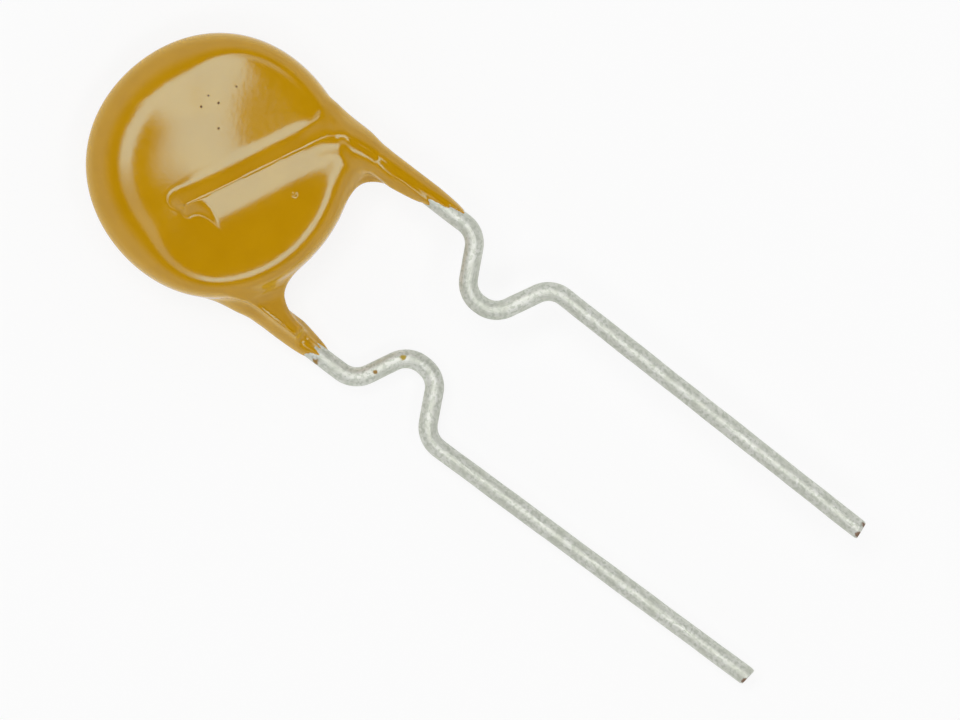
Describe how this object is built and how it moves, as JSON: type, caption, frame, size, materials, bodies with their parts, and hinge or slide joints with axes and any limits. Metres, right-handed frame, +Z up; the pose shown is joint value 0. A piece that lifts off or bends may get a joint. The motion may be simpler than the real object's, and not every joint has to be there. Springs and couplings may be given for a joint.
{
  "type": "resettable fuse",
  "caption": "Radial-lead resettable fuse: a round epoxy-dipped body over a conductive-polymer disc, on kinked tinned wire leads, that limits overcurrent and recovers when it cools.",
  "frame": {"origin": "on the surface the part lies on, under the middle of its width and length", "axes": "+Z up, out of the front face; +Y from the lead tips to the top of the body; +X across the leads towards the front lead"},
  "size_m": [0.007, 0.023, 0.0024],
  "materials": {
    "epoxy": "glossy dipped epoxy, golden ochre",
    "tinned_wire": "bright tin over copper, lightly streaked",
    "solder": "satin grey solder",
    "foil": "matte nickel-plated foil",
    "polymer": "matte black carbon-filled polymer"
  },
  "bodies": {
    "root": {"epoxy_coating": "epoxy", "ptc_disc": "polymer", "front_electrode": "foil", "rear_electrode": "foil", "front_solder": "solder", "rear_solder": "solder", "front_lead": "tinned_wire", "rear_lead": "tinned_wire"}
  },
  "joints": []
}
